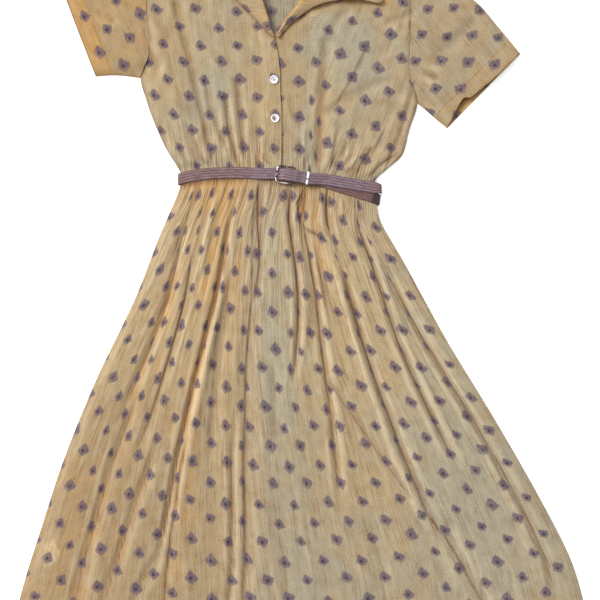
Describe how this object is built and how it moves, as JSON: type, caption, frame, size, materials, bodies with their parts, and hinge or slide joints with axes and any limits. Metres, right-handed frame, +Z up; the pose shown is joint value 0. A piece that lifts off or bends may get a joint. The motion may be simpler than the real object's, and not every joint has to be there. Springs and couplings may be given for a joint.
{
  "type": "shirt dress",
  "caption": "Belted shirt dress laid flat face up, with short sleeves, an open collar, a buttoned front and a gathered, flared skirt.",
  "frame": {"origin": "on the surface that the dress lies on, below the middle of its outline", "axes": "+X to the right as the dress is seen from above, +Y toward the collar, +Z up from the surface"},
  "size_m": [1, 1.2823, 0.0245],
  "materials": {
    "cloth": "thin crinkled cotton, golden tan, printed with small soft-edged plum squares",
    "strap": "ribbed mauve strap",
    "metal": "polished metal",
    "button": "pearly"
  },
  "bodies": {
    "root": {"skirt_front": "cloth", "skirt_back": "cloth", "bodice_front_right": "cloth", "bodice_front_left": "cloth", "bodice_back": "cloth", "sleeve_right": "cloth", "sleeve_left": "cloth", "collar": "cloth", "belt_strap": "strap", "buckle_frame": "metal", "buckle_prong": "metal", "belt_keeper": "metal", "button_1": "button", "button_2": "button"}
  },
  "joints": []
}
